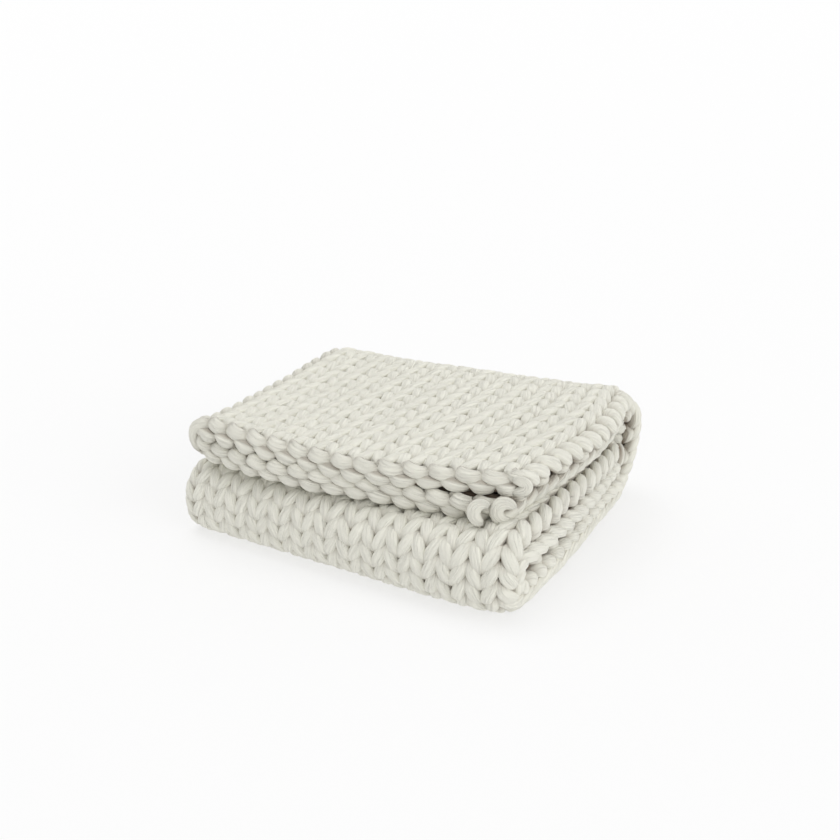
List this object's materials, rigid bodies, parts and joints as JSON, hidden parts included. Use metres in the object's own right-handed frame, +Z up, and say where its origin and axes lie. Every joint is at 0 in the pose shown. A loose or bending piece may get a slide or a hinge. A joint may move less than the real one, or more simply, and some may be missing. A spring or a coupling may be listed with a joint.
{
  "type": "weighted blanket",
  "caption": "Chunky knitted weighted blanket in thick cotton tube yarn, doubled and folded into a neat stack that lies flat.",
  "frame": {"origin": "middle of the stack's plan box, on the surface that the underside rests on", "axes": "+X along the front of the stack towards the open selvedges, +Y from the front edge to the back fold, +Z up"},
  "size_m": [0.6032, 0.5064, 0.1977],
  "materials": {
    "tube_yarn": "matte ivory cotton jersey tube yarn, soft lengthwise creases"
  },
  "bodies": {
    "root": {"knitted_blanket": "tube_yarn"}
  },
  "joints": []
}
